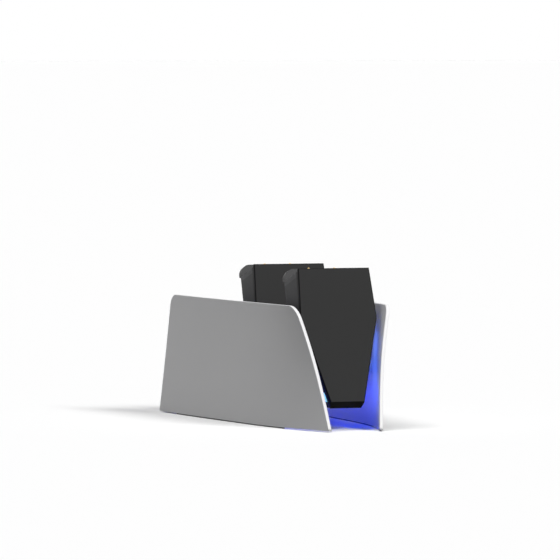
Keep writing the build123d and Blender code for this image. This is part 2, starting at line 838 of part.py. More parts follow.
# Leads from the contact boards to the main board
contact_under = contact_top - contact_board_thick
lead_end_y = board_front_y + lead_board_inset
for bay, back, side in (("front", 0, 1), ("rear", bay_pitch, -1)):
    start = bay_point(back, side * lead_side, seat_middle, contact_under)
    corner_rise = (lead_run_z + seat_middle * sin(lean)) / cos(lean)
    corner = bay_point(back, side * lead_side, seat_middle, corner_rise)
    above = Vector(side * lead_side, lead_end_y, lead_run_z)
    end = Vector(side * lead_side, lead_end_y, board_top_z)
    ribbon = lead([start, corner, above, end], lead_bend, (1, 0, 0), lead_width, lead_thick)
    keep(ribbon, f"{bay}_lead")

# Leads from the LED boards up to the main board
for hand, side in (("left", -1), ("right", 1)):
    board_edge = flank_plane(side, core_wall + led_lead_thick / 2 + fit_gap)
    rise_way = Vector(side * sin(flank), 0, cos(flank))
    start = board_edge.origin + rise_way * (led_board_height / 2) + Vector(0, led_lead_y, 0)
    corner = start + rise_way * led_lead_rise
    end = Vector(corner.X, corner.Y, board_z)
    ribbon = lead([start, corner, end], led_lead_bend, (0, 1, 0), led_lead_width, led_lead_thick)
    keep(ribbon, f"{hand}_led_lead")
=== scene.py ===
from math import atan2, cos, pi, radians, sin, tan

import bmesh
import bpy
import numpy as np
from bpy.props import FloatProperty, FloatVectorProperty, IntProperty, PointerProperty
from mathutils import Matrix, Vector


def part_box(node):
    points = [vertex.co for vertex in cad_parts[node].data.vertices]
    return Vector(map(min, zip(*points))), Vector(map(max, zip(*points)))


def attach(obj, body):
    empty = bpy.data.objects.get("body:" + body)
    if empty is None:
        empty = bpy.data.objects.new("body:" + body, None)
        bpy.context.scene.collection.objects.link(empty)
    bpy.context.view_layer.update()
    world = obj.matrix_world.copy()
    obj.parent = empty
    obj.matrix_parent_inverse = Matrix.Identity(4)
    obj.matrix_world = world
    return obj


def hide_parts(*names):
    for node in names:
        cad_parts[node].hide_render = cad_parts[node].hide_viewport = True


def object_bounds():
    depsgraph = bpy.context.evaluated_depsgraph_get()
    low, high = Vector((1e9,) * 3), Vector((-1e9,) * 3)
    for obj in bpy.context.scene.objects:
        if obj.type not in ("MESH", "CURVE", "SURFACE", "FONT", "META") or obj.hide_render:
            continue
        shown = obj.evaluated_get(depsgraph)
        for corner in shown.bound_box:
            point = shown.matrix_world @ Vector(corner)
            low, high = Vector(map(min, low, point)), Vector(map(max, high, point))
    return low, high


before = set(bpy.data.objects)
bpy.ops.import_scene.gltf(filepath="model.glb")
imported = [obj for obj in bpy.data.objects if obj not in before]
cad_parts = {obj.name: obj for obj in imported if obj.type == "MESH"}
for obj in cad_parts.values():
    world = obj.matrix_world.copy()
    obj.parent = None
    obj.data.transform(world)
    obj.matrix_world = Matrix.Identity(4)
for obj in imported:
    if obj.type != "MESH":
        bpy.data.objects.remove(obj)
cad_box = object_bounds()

bl_info = {
    "name": "Charging Dock",
    "version": (1, 0, 0),
    "blender": (4, 5, 0),
    "location": "View3D > Sidebar > Dock",
    "description": "Dresses the charging dock's solids and sets its stage",
    "category": "Object",
}

BODY = "dock"
BAYS = ("front", "rear")
HANDS = {"left": -1, "right": 1}

# Joining and smoothing of the solids' meshes
WELD = 1e-6
FLAT = radians(0.3)
SHARP = radians(40)
CREASE = radians(35)
EDGE_STEPS = 2
ROUND_SIDES = 24

# Edge roundings of most pieces, of the inlet's sheet metal and of the pins' barrels
SOFT_EDGE = 0.0002
SHEET_EDGE = 0.00006
BARREL_EDGE = 0.00004

# Noise scale of the plastics' slow drift of shade
DRIFT_SCALE = 60.0

# Reach of the floor and of the view, and the camera's sensor in millimetres
FLOOR_REACH = 30.0
VIEW_REACH = 200.0
SENSOR_WIDTH = 36.0


# Settings

def length(name, description, default):
    """A length that a user may change."""
    return FloatProperty(name=name, description=description, default=default, unit="LENGTH", precision=5)


def bearing(name, description, degrees):
    """An angle that a user may change."""
    return FloatProperty(name=name, description=description, default=radians(degrees), subtype="ANGLE")


def amount(name, description, default):
    """A plain number that a user may change."""
    return FloatProperty(name=name, description=description, default=default)


def number(name, description, default, least=2):
    """A whole number that a user may change."""
    return IntProperty(name=name, description=description, default=default, min=least)


def colour(name, description, default):
    """A linear colour that a user may change."""
    return FloatVectorProperty(name=name, description=description, default=default, subtype="COLOR", size=3)


def direction(name, description, default):
    """A direction that a user may change."""
    return FloatVectorProperty(name=name, description=description, default=default, subtype="DIRECTION")


def stations(name, description, default):
    """Values at the fins' plan points, which a user may change."""
    return FloatVectorProperty(name=name, description=description, default=default, size=len(default))


class DockFinSettings(bpy.types.PropertyGroup):
    height: length("Height", "Top edge of the fins above the floor", 0.0506)
    foot: length("Foot", "Height of the foot strips under the fins", 0.0005)
    wall: length("Wall", "Thickness of the fins", 0.0015)
    corner: length("Top corner", "Radius of the fins' top corners", 0.007)
    outer_rim: length("Outer rim", "Rounding of the rims on the outside", 0.00012)
    inner_rim: length("Inner rim", "Rounding of the rims on the inside", 0.0004)
    lean: bearing("Lean", "Lean of the fins' ends and of the bays", 17)
    places: stations(
        "Places", "Distances behind the front of the plan's points",
        (-0.006, 0.0, 0.028, 0.080, 0.160, 0.166),
    )
    halves: stations(
        "Halves", "Half-widths on the floor at those places",
        (0.00942, 0.0117, 0.0195, 0.025, 0.029, 0.02918),
    )
    curls: stations(
        "Curls", "Outward curl of the top edge at those places",
        (0.00575, 0.00575, 0.0028, 0.0009, 0.0005, 0.0005),
    )
    curl_power: amount("Curl power", "How late the curl sets in", 2.8)
    columns: number("Columns", "Quads along a fin", 150, 8)
    rows: number("Rows", "Quads up a fin's straight end", 40, 4)
    corner_turns: number("Corner turns", "Quads round a fin's top corner", 14)
    rim_steps: number("Rim steps", "Quads round each edge of a fin's rim", 5)


class DockFinishSettings(bpy.types.PropertyGroup):
    shell: colour("Shell", "White plastic of the fins", (0.80, 0.80, 0.81))
    face: colour("Face", "Dark grey of the tongues", (0.03, 0.03, 0.03))
    # Painted shade: near black on the tongues' sides and edges
    painted_side_shade: colour("Face sides", "Black round the tongues' sides", (0.003, 0.003, 0.0032))
    face_depth: length("Face depth", "How far the grey reaches round the tongues' edges", 0.00002)
    core: colour("Core", "Black of the core", (0.012, 0.012, 0.013))
    rubber: colour("Rubber", "Foot strips", (0.3, 0.3, 0.3))


class DockTongueSettings(bpy.types.PropertyGroup):
    foot_top: length("Foot top", "Lower edge of the front tongue's face above the floor", 0.0118)
    edge: length("Edge", "Rounding of the tongues' edges", 0.0001)


class DockLightSettings(bpy.types.PropertyGroup):
    glow: colour("Glow", "Colour of the strips' run", (0.008, 0.04, 1.0))
    spark: colour("Spark", "Colour of the strips' leg", (0.09, 0.20, 1.0))
    tip: colour("Tip", "Paler light at the strips' front ends", (0.2, 0.58, 0.5))
    glow_light: amount("Glow light", "Light of the strips' run", 13.0)
    spark_light: amount("Spark light", "Light of the strips' leg", 9.0)
    tip_depth: length("Tip depth", "End of the paler light behind the front tongue's face", 0.0075)
    run_z: length("Run height", "Middle of the strips' low run above the floor", 0.0132)
    run_width: length("Run width", "Height of the strips' low run", 0.0036)
    leg_depth: length("Leg depth", "Middle of the strips' leg behind the front tongue's face", 0.0111)
    leg_width: length("Leg width", "Width of the strips' leg", 0.0032)
    face_y: length("Face", "Place of the front tongue's face on the floor", -0.0743)
    led_side: length("LED side", "Side of the LED packages", 0.0018)
    led_height: length("LED height", "Height of the LED packages", 0.001)
    led_count: number("LED count", "LEDs behind each strip", 6)


class DockScrewSettings(bpy.types.PropertyGroup):
    head_radius: length("Head radius", "Radius of the heads", 0.0018)
    head_height: length("Head height", "Height of the heads", 0.0014)
    shank_radius: length("Shank radius", "Radius over the threads", 0.001)
    pitch: length("Pitch", "Rise of a thread in one turn", 0.0008)
    arm_reach: length("Arm reach", "Half-length of the cross recess's arms", 0.0011)
    arm_width: length("Arm width", "Width of the cross recess's arms", 0.00045)
    arm_depth: length("Arm depth", "Depth of the cross recess", 0.0008)


class DockInletSettings(bpy.types.PropertyGroup):
    finger_count: number("Fingers", "Contact fingers on each side of the blade", 12)
    finger_pitch: length("Pitch", "Distance between the contact fingers", 0.0005)
    finger_width: length("Width", "Width of the contact fingers", 0.00026)
    finger_length: length("Length", "Length of the contact fingers", 0.0036)
    finger_rise: length("Rise", "How far the contact fingers stand out", 0.00003)


class DockStageSettings(bpy.types.PropertyGroup):
    camera_place: FloatVectorProperty(
        name="Camera", description="Place of the camera", default=(-0.9252, -2.5323, 0.16214),
        subtype="TRANSLATION",
    )
    heading: bearing("Heading", "Camera's turn to the right of straight ahead", 20)
    pitch: bearing("Pitch", "Camera's downward tilt", 2.2)
    focal: amount("Focal length", "In pixels of the photograph's frame", 6500.0)
    frame_pixels: amount("Frame", "Width of the photograph's frame", 560.0)
    key_light: amount("Key light", "Strength of the sun lamp", 2.25)
    key_way: direction("Key direction", "From the dock to the sun lamp", (0.25, -0.75, 0.61))
    key_spread: bearing("Key spread", "Width of the sun lamp in the sky", 20)
    fill_light: amount("Fill light", "Strength of the soft lamp", 0.2)
    fill_way: direction("Fill direction", "From the dock to the soft lamp", (-0.45, -0.55, 0.7))
    fill_spread: bearing("Fill spread", "Width of the soft lamp in the sky", 60)
    top_light: amount("Top light", "Strength of the lamp overhead", 1.6)
    top_way: direction("Top direction", "From the dock to the lamp overhead", (-0.28, -0.12, 0.95))
    top_spread: bearing("Top spread", "Width of the lamp overhead in the sky", 35)
    sky_light: amount("Sky light", "Light of the surroundings", 0.08)
    sky_seen: amount("Backdrop", "Surroundings' shade as they are seen", 1.0)
    floor_seen: amount("Floor", "Floor's shade as it is seen", 0.945)
    floor_lit: amount("Floor bounce", "Floor's shade as it lights the dock", 0.09)


# Node wiring

class Wire:
    """A node's output that takes part in sums."""

    def __init__(self, tree, socket):
        self.tree = tree
        self.socket = socket

    def maths(self, operation, first, second=0.0):
        return self.tree.node("ShaderNodeMath", {"operation": operation}, {0: first, 1: second})

    def __add__(self, other):
        return self.maths("ADD", self, other)

    def __sub__(self, other):
        return self.maths("SUBTRACT", self, other)

    def __rsub__(self, other):
        return self.maths("SUBTRACT", other, self)

    def __mul__(self, other):
        return self.maths("MULTIPLY", self, other)

    def __truediv__(self, other):
        return self.maths("DIVIDE", self, other)

    def __rtruediv__(self, other):
        return self.maths("DIVIDE", other, self)

    def __pow__(self, other):
        return self.maths("POWER", self, other)

    def __gt__(self, other):
        return self.maths("GREATER_THAN", self, other)

    __radd__ = __add__
    __rmul__ = __mul__

    def size(self):
        return self.maths("ABSOLUTE", self)

    def sine(self):
        return self.maths("SINE", self)

    def fraction(self):
        return self.maths("FRACT", self)

    def or_less(self, other):
        return self.maths("MINIMUM", self, other)


class NodeBench:
    """Adds nodes to one tree and links them."""

    def __init__(self, tree):
        self.tree = tree

    def node(self, kind, settings=None, sockets=None, output=0):
        """Add a node, set it up, then give its sockets values or links."""
        node = self.tree.nodes.new(kind)
        for key, value in (settings or {}).items():
            setattr(node, key, value)
        for key, value in (sockets or {}).items():
            if isinstance(value, Wire):
                value = [value]
            if isinstance(value, list):
                for wire in value:
                    self.tree.links.new(wire.socket, node.inputs[key])
            else:
                node.inputs[key].default_value = value
        return Wire(self, node.outputs[output]) if node.outputs else node

    def mix(self, factor, first, second):
        """Blend two colours."""
        return self.node("ShaderNodeMix", {"data_type": "RGBA"}, {0: factor, 6: first, 7: second}, 2)

    def noise(self, place, scale, detail=2.0, roughness=0.5):
        """Noise between 0 and 1 at a place."""
        sockets = {"Vector": place, "Scale": scale, "Detail": detail, "Roughness": roughness}
        return self.node("ShaderNodeTexNoise", None, sockets)

    def bump(self, height, depth):
        """Normal of a relief with the given depth in metres."""
        return self.node("ShaderNodeBump", None, {"Height": height, "Distance": depth, "Strength": 1.0})

    def lit(self, shade, light):
        """A colour scaled by a light level."""
        return self.node("ShaderNodeVectorMath", {"operation": "SCALE"}, {0: tuple(shade), "Scale": light})

    def parts(self, place):
        """X, Y and Z of a place."""
        split = self.node("ShaderNodeSeparateXYZ", None, {0: place})
        return [Wire(self, socket) for socket in split.socket.node.outputs]


def opaque(shade):
    """A colour with full alpha."""
    return (*shade, 1.0)


def darker(shade, share):
    """A colour scaled by a share, with full alpha."""
    return tuple(value * share for value in shade) + (1.0,)


def finish(name, paint):
    """Material whose nodes are laid by paint(bench, place) and end in what it returns."""
    full_name = f"{name}_finish"
    if full_name in bpy.data.materials:
        return bpy.data.materials[full_name]
    material = bpy.data.materials.new(full_name)
    material.use_nodes = True
    material.node_tree.nodes.clear()
    bench = NodeBench(material.node_tree)
    place = bench.node("ShaderNodeTexCoord", None, None, "Object")
    surface = paint(bench, place)
    bench.node("ShaderNodeOutputMaterial", None, {"Surface": surface})
    return material


def coated(bench, **sockets):
    """Principled surface; names with underscores stand for its sockets."""
    named = {key.replace("_", " ").title().replace("Ior", "IOR"): value for key, value in sockets.items()}
    return bench.node("ShaderNodeBsdfPrincipled", None, named)


# Finishes

def moulded(bench, place, shade, matt, grain, depth, drift, shine=0.5):
    """Moulded plastic: fine spark-eroded grain, slow drift of shade and gloss."""
    fine = bench.noise(place, grain, 3.0, 0.6)
    slow = bench.noise(place, DRIFT_SCALE)
    tint = bench.mix(slow, darker(shade, 1.0 - drift), opaque(shade))
    return coated(
        bench,
        base_color=tint,
        roughness=matt + fine * 0.08 + slow * 0.04 - 0.06,
        specular_ior_level=shine,
        normal=bench.bump(fine, depth),
    )


def plain_plastic(name, shade, **looks):
    """One moulded finish all over."""
    return finish(name, lambda bench, place: moulded(bench, place, shade, **looks))


def white_shell():
    """Satin white of the fins."""
    shade = bpy.context.scene.dock_finishes.shell
    return plain_plastic("white_shell", shade, matt=0.42, grain=2600.0, depth=0.000012, drift=0.02)


def dark_face():
    """Grey face of the tongues with painted shade on their sides: everything that lies off a face's plane is
    painted near black, told apart by the depth behind each face.
    """
    looks = bpy.context.scene.dock_finishes
    lean = bpy.context.scene.dock_fins.lean
    ahead = Vector((0.0, -cos(lean), sin(lean)))
    planes = [max(v.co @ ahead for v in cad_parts[f"{bay}_tongue"].data.vertices) for bay in BAYS]

    def paint(bench, place):
        y, z = bench.parts(place)[1:]
        reach = z * ahead.z + y * ahead.y
        front, rear = [(reach - plane).size() for plane in planes]
        # Painted shade: everything that lies off either tongue's face plane is painted near black
        side = front.or_less(rear) > looks.face_depth
        fine = bench.noise(place, 2200.0, 3.0, 0.6)
        slow = bench.noise(place, DRIFT_SCALE)
        grey = bench.mix(slow, darker(looks.face, 0.92), opaque(looks.face))
        return coated(
            bench,
            base_color=bench.mix(side, grey, opaque(looks.painted_side_shade)),
            roughness=fine * 0.08 + slow * 0.04 + 0.58,
            specular_ior_level=0.08,
            normal=bench.bump(fine, 0.000016),
        )

    return finish("dark_face", paint)


def black_core():
    """Black plastic of the core."""
    shade = bpy.context.scene.dock_finishes.core
    return plain_plastic("black_core", shade, matt=0.58, grain=1800.0, depth=0.00002, drift=0.1, shine=0.3)


def black_seat():
    """Black plastic of the seats."""
    shade = bpy.context.scene.dock_finishes.core
    return plain_plastic("black_seat", shade, matt=0.5, grain=2400.0, depth=0.000016, drift=0.1, shine=0.3)


def foot_rubber():
    """Rubber of the foot strips."""
    shade = bpy.context.scene.dock_finishes.rubber
    return plain_plastic("foot_rubber", shade, matt=0.85, grain=1400.0, depth=0.00003, drift=0.2)


def light_diffuser():
    """Milky bar that glows along its run and its leg, brighter at each LED and paler at its front end."""
    light = bpy.context.scene.dock_lights
    lean = bpy.context.scene.dock_fins.lean
    low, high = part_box("left_leds")
    pitch = (high.y - low.y - light.led_side) / (light.led_count - 1)

    def line(offset, width):
        """1 along the middle of a bar of this width, falling off towards its sides."""
        focus = 5.2 / width
        return 1.0 / (1.0 + (offset.size() * focus) ** 4.0)

    def paint(bench, place):
        y, z = bench.parts(place)[1:]
        run = line(z - light.run_z, light.run_width)
        depth = (y - light.face_y - z * tan(lean)) * cos(lean)
        leg = line(depth - light.leg_depth, light.leg_width)
        phase = (y - (low.y + light.led_side / 2)) * (2 * pi / pitch)
        spots = 0.85 + (phase + pi / 2).sine() * 0.15
        glow = bench.lit(light.glow, (run * 0.8 + 0.2) * spots * light.glow_light)
        spark = bench.lit(light.spark, (leg * 0.8 + 0.2) * light.spark_light)
        above = (z - light.run_z) > light.run_width / 2
        strong = bench.mix(above, glow, spark)
        shine = bench.mix(depth > light.tip_depth, opaque(light.tip), strong)
        milk = bench.noise(place, 900.0, 2.0)
        return coated(
            bench,
            base_color=bench.mix(milk, (0.62, 0.7, 0.82, 1.0), (0.7, 0.76, 0.86, 1.0)),
            roughness=milk * 0.1 + 0.35,
            emission_color=shine,
            emission_strength=1.0,
        )

    return finish("light_diffuser", paint)


def led_body():
    """LED packages: white case round a glowing well."""
    light = bpy.context.scene.dock_lights

    def paint(bench, place):
        cloud = bench.noise(place, 1500.0, 2.0)
        glow = bench.lit(light.spark, cloud * 2.0 + 8.0)
        return coated(
            bench, base_color=(0.8, 0.8, 0.76, 1.0), roughness=cloud * 0.1 + 0.35,
            emission_color=glow, emission_strength=1.0,
        )

    return finish("led_body", paint)


def circuit_board():
    """Solder mask with copper runs that show through it."""

    def paint(bench, place):
        x, y = bench.parts(place)[:2]
        wander = bench.noise(place, 220.0, 1.0) * 0.0016
        runs = ((x + wander) * 900.0).fraction() > 0.62
        cross = ((y + wander) * 420.0).fraction() > 0.8
        copper = (runs + cross) > 0.5
        mask = bench.mix(copper, (0.006, 0.05, 0.03, 1.0), (0.012, 0.095, 0.05, 1.0))
        return coated(
            bench, base_color=mask, roughness=copper * -0.08 + 0.36, normal=bench.bump(copper, 0.00003),
        )

    return finish("circuit_board", paint)


def chip_black():
    """Moulded epoxy with a faint sparkle."""

    def paint(bench, place):
        speck = bench.noise(place, 4200.0, 4.0, 0.7)
        tint = bench.mix(speck, (0.014, 0.014, 0.015, 1.0), (0.03, 0.03, 0.032, 1.0))
        return coated(bench, base_color=tint, roughness=speck * 0.2 + 0.5, normal=bench.bump(speck, 0.00001))

    return finish("chip_black", paint)


def coil_grey():
    """Pressed ferrite powder."""

    def paint(bench, place):
        speck = bench.noise(place, 3000.0, 4.0, 0.7)
        tint = bench.mix(speck, (0.06, 0.06, 0.065, 1.0), (0.13, 0.13, 0.14, 1.0))
        return coated(bench, base_color=tint, roughness=speck * 0.2 + 0.6, normal=bench.bump(speck, 0.00002))

    return finish("coil_grey", paint)


def capacitor_tan():
    """Fired ceramic with tinned ends, counted from the row's middle."""
    low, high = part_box("capacitors")
    middle = (low.y + high.y) / 2
    reach = (high.y - low.y) / 2
    body = 0.002

    def paint(bench, place):
        y = bench.parts(place)[1]
        along = ((y - middle).size() - (reach - body / 2)).size() * (2 / body)
        tin = along > 0.55
        cloud = bench.noise(place, 1600.0, 2.0)
        clay = bench.mix(cloud, (0.36, 0.24, 0.13, 1.0), (0.45, 0.31, 0.17, 1.0))
        return coated(
            bench, base_color=bench.mix(tin, clay, (0.72, 0.72, 0.74, 1.0)), metallic=tin,
            roughness=cloud * 0.1 + 0.34,
        )

    return finish("capacitor_tan", paint)


def worn_metal(name, shade, matt, stretch):
    """Plated metal with fine drawn lines."""

    def paint(bench, place):
        drawn = bench.node("ShaderNodeMapping", None, {"Vector": place, "Scale": stretch})
        lines = bench.noise(drawn, 900.0, 3.0)
        cloud = bench.noise(place, 300.0, 2.0)
        tint = bench.mix(cloud, darker(shade, 0.86), opaque(shade))
        return coated(
            bench, base_color=tint, metallic=1.0, roughness=matt + lines * 0.12 + cloud * 0.06,
            normal=bench.bump(lines, 0.000004),
        )

    return finish(name, paint)


def gold_contact():
    """Gold of the pins, their barrels and the inlet's fingers."""
    return worn_metal("gold_contact", (0.95, 0.66, 0.28), matt=0.28, stretch=(1.0, 1.0, 6.0))


def nickel_plate():
    """Nickel of the inlet's shell."""
    return worn_metal("nickel_plate", (0.72, 0.70, 0.67), matt=0.2, stretch=(1.0, 6.0, 1.0))


def screw_steel():
    """Steel of the screws."""
    return worn_metal("screw_steel", (0.46, 0.46, 0.47), matt=0.26, stretch=(1.0, 1.0, 1.0))


def lead_sheath():
    """Flat ribbon lead: several wires side by side, with painted shade that darkens the grooves between
    them.
    """

    def paint(bench, place):
        x = bench.parts(place)[0]
        wires = (x * 1600.0 * 2 * pi).sine() * 0.5 + 0.5
        # Painted shade: darker in the grooves between the wires and lighter on their crests, in step with
        # the relief
        tint = bench.mix(wires, (0.02, 0.02, 0.022, 1.0), (0.05, 0.05, 0.055, 1.0))
        return coated(bench, base_color=tint, roughness=wires * 0.1 + 0.4, normal=bench.bump(wires, 0.00006))

    return finish("lead_sheath", paint)


# Pieces

def new_piece(name, mesh):
    """Object at the origin that carries a mesh."""
    piece = bpy.data.objects.new(name, mesh)
    bpy.context.scene.collection.objects.link(piece)
    return piece


def settle(piece):
    """Turn what the modifiers make into the piece's plain mesh."""
    bpy.context.view_layer.update()
    shaped = piece.evaluated_get(bpy.context.evaluated_depsgraph_get())
    mesh = bpy.data.meshes.new_from_object(shaped)
    piece.modifiers.clear()
    piece.data = mesh


def soften(piece, width):
    """Round the sharp edges of a piece and smooth its shading."""
    for face in piece.data.polygons:
        face.use_smooth = True
    edge = piece.modifiers.new("soft_edges", "BEVEL")
    edge.width = width
    edge.segments = EDGE_STEPS
    edge.limit_method = "ANGLE"
    edge.angle_limit = SHARP
    edge.harden_normals = True
    edge.use_clamp_overlap = True
    settle(piece)


def merged(node):
    """Copy of a solid's mesh with its loose triangles joined and its flat faces made whole."""
    shape = bmesh.new()
    shape.from_mesh(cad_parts[node].data)
    bmesh.ops.remove_doubles(shape, verts=shape.verts, dist=WELD)
    bmesh.ops.dissolve_limit(shape, angle_limit=FLAT, verts=shape.verts, edges=shape.edges)
    return shape


def as_mesh(shape, name):
    """Plain mesh of an edited shape, without the import's own normals."""
    mesh = bpy.data.meshes.new(name)
    shape.to_mesh(mesh)
    shape.free()
    for attribute in [a for a in mesh.attributes if a.name == "custom_normal"]:
        mesh.attributes.remove(attribute)
    return mesh


def stand_for(piece, node, material, body=BODY):
    """The piece takes a solid's place on its body, in a finish."""
    piece.data.materials.clear()
    piece.data.materials.append(material)
    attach(piece, body)
    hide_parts(node)


def dress(node, material, edge, body=BODY, reshape=None):
    """Show a solid with softened edges and smooth curves, reshaped first if asked."""
    shape = merged(node)
    if reshape:
        reshape(shape)
    piece = new_piece(f"{node}_dressed", as_mesh(shape, node))
    soften(piece, edge)
    stand_for(piece, node, material, body)


def paint_node(node, material):
    """Give a solid that stays as it is its finish."""
    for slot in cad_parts[node].material_slots:
        slot.material = material


# Repeats

class CopyTree(NodeBench):
    """Geometry tree with named inputs that puts one shape on every point of a mesh."""

    def __init__(self, name, inputs):
        super().__init__(bpy.data.node_groups.new(name, "GeometryNodeTree"))
        face = self.tree.interface
        face.new_socket("Copies", in_out="OUTPUT", socket_type="NodeSocketGeometry")
        kinds = {"Points": "NodeSocketGeometry", "Material": "NodeSocketMaterial"}
        kinds.update({title: "NodeSocketFloat" for title in inputs})
        self.keys = {}
        for title, kind in kinds.items():
            self.keys[title] = face.new_socket(title, in_out="INPUT", socket_type=kind).identifier
        self.given = self.tree.nodes.new("NodeGroupInput").outputs

    def inputs(self, *titles):
        """Named inputs as wires."""
        return [Wire(self, self.given[title]) for title in titles]

    def vector(self, x=0.0, y=0.0, z=0.0):
        """Vector from three values."""
        return self.node("ShaderNodeCombineXYZ", None, {0: x, 1: y, 2: z})

    def raised(self, shape, rise):
        """A shape moved up."""
        sockets = {"Geometry": shape, "Translation": self.vector(z=rise)}
        return self.node("GeometryNodeTransform", None, sockets)

    def box(self, x, y, z, rise):
        """Box with the given sizes whose middle is raised."""
        return self.raised(self.node("GeometryNodeMeshCube", None, {"Size": self.vector(x, y, z)}), rise)

    def swept(self, curve, sides, scale, caps):
        """Tube along a curve; the scale may change along it."""
        ring = self.node("GeometryNodeCurvePrimitiveCircle", None, {"Resolution": sides, "Radius": 1.0})
        sockets = {"Curve": curve, "Profile Curve": ring, "Scale": scale, "Fill Caps": caps}
        return self.node("GeometryNodeCurveToMesh", None, sockets)

    def turned(self, low, high, rings, radius_at):
        """Turned body between two heights; radius_at gives its radius at a share of its length."""
        ends = {"Start": self.vector(z=low), "End": self.vector(z=high)}
        line = self.node("GeometryNodeCurvePrimitiveLine", None, ends)
        fine = self.node("GeometryNodeResampleCurve", None, {"Curve": line, "Count": rings})
        share = self.node("GeometryNodeSplineParameter")
        return self.swept(fine, ROUND_SIDES, radius_at(share), True)

    def joined(self, *shapes):
        """Shapes as one."""
        return self.node("GeometryNodeJoinGeometry", None, {"Geometry": list(shapes)})

    def less(self, shape, *cutters):
        """A shape with others cut out of it."""
        way = {"operation": "DIFFERENCE", "solver": "EXACT"}
        return self.node("GeometryNodeMeshBoolean", way, {"Mesh 1": shape, "Mesh 2": list(cutters)})

    def end(self, shape):
        """Put the shape on every point along the point's way, real, smooth and in its finish."""
        points, material = self.inputs("Points", "Material")
        angle = self.node("GeometryNodeInputMeshEdgeAngle")
        soft = self.node("GeometryNodeSetShadeSmooth", {"domain": "FACE"}, {"Geometry": shape})
        edges = {"Geometry": soft, "Selection": angle > CREASE, "Shade Smooth": False}
        crisp = self.node("GeometryNodeSetShadeSmooth", {"domain": "EDGE"}, edges)
        way = self.node("GeometryNodeInputNamedAttribute", {"data_type": "FLOAT_VECTOR"}, {"Name": "way"})
        turn = self.node("FunctionNodeAlignRotationToVector", {"axis": "Z"}, {"Vector": way})
        sockets = {"Points": points, "Instance": crisp, "Rotation": turn}
        copies = self.node("GeometryNodeInstanceOnPoints", None, sockets)
        real = self.node("GeometryNodeRealizeInstances", None, {"Geometry": copies})
        dressed = self.node("GeometryNodeSetMaterial", None, {"Geometry": real, "Material": material})
        self.node("NodeGroupOutput", None, {"Copies": dressed})


def copies(name, tree, sizes, material, spots):
    """Plain mesh of a tree's shape on spots, each a place and a direction."""
    mesh = bpy.data.meshes.new(name)
    mesh.from_pydata([place for place, way in spots], [], [])
    ways = mesh.attributes.new("way", "FLOAT_VECTOR", "POINT")
    for item, (place, way) in zip(ways.data, spots):
        item.vector = way
    piece = new_piece(name, mesh)
    maker = piece.modifiers.new("copies", "NODES")
    maker.node_group = tree.tree
    for title, value in sizes.items():
        maker[tree.keys[title]] = value
    maker[tree.keys["Material"]] = material
    settle(piece)
    for attribute in [a for a in piece.data.attributes if a.name == "way"]:
        piece.data.attributes.remove(attribute)
    return piece


def screw_tree():
    """Screw with a domed head, a cross recess and a rolled thread; its head stands on the point."""
    names = ("Head radius", "Head height", "Shank radius", "Shank length", "Pitch")
    names += ("Arm reach", "Arm width", "Arm depth")
    rings = 12
    tree = CopyTree("dock_screw", names)
    head_radius, head_height, shank_radius, shank_length, pitch, reach, width, depth = tree.inputs(*names)
    dome = tree.turned(0.0, head_height, rings, lambda share: head_radius * (1.0 - share ** 4.0 * 0.55))
    ways = ((reach * 2.0, width), (width, reach * 2.0))
    arms = [tree.box(x, y, depth * 2.0, head_height) for x, y in ways]
    head = tree.less(dome, tree.joined(*arms))
    root = shank_radius * 0.8
    foot = shank_length * -1.0
    shank = tree.turned(foot, 0.0, rings, lambda share: root * (1.0 - (1.0 - share) ** 9.0 * 0.6))
    turns = {"Resolution": 20, "Rotations": shank_length / pitch - 1.0, "Height": shank_length - pitch}
    helix = tree.node("GeometryNodeCurveSpiral", None, {**turns, "Start Radius": root, "End Radius": root})
    ridge = shank_radius * 0.2
    thread = tree.raised(tree.swept(helix, 4, ridge, True), foot + pitch * 0.5)
    tree.end(tree.joined(head, shank, thread))
    return tree


def led_tree():
    """LED package with a domed lens on its case."""
    tree = CopyTree("dock_led", ("Side", "Height"))
    side, height = tree.inputs("Side", "Height")
    case = tree.box(side, side, height * 0.7, height * 0.35)
    lens = tree.turned(height * 0.65, height, 8, lambda share: side * 0.4 * (1.001 - share ** 2.0) ** 0.5)
    tree.end(tree.joined(case, lens))
    return tree


def finger_tree():
    """Flat contact finger that lies on the point."""
    tree = CopyTree("dock_finger", ("Width", "Length", "Rise"))
    width, long, rise = tree.inputs("Width", "Length", "Rise")
    tree.end(tree.box(width, long, rise, rise * 0.5))
    return tree


# Fins

def smooth_through(places, values):
    """Cubic curve through points, without a kink at the points next to its ends."""
    places = np.asarray(places, float)
    values = np.asarray(values, float)
    count = len(places)
    step = np.diff(places)
    slope = np.diff(values) / step
    system = np.zeros((count, count))
    right = np.zeros(count)
    for i in range(1, count - 1):
        system[i, i - 1:i + 2] = step[i - 1], 2 * (step[i - 1] + step[i]), step[i]
        right[i] = 6 * (slope[i] - slope[i - 1])
    system[0, :3] = step[1], -(step[0] + step[1]), step[0]
    system[-1, -3:] = step[-1], -(step[-2] + step[-1]), step[-2]
    bend = np.linalg.solve(system, right)

    def at(place):
        i = np.clip(np.searchsorted(places, place) - 1, 0, count - 2)
        h = step[i]
        a = (places[i + 1] - place) / h
        b = (place - places[i]) / h
        straight = a * values[i] + b * values[i + 1]
        return straight + ((a**3 - a) * bend[i] + (b**3 - b) * bend[i + 1]) * h * h / 6

    return at


def fin_surface(fins):
    """Function that gives the outer half-width of the fins at a place."""
    front = cad_box[0].y
    half = smooth_through(fins.places, fins.halves)
    curl = smooth_through(fins.places, fins.curls)

    def outer(y, z):
        return half(y - front) + curl(y - front) * (max(z, 0.0) / fins.height) ** fins.curl_power

    return outer


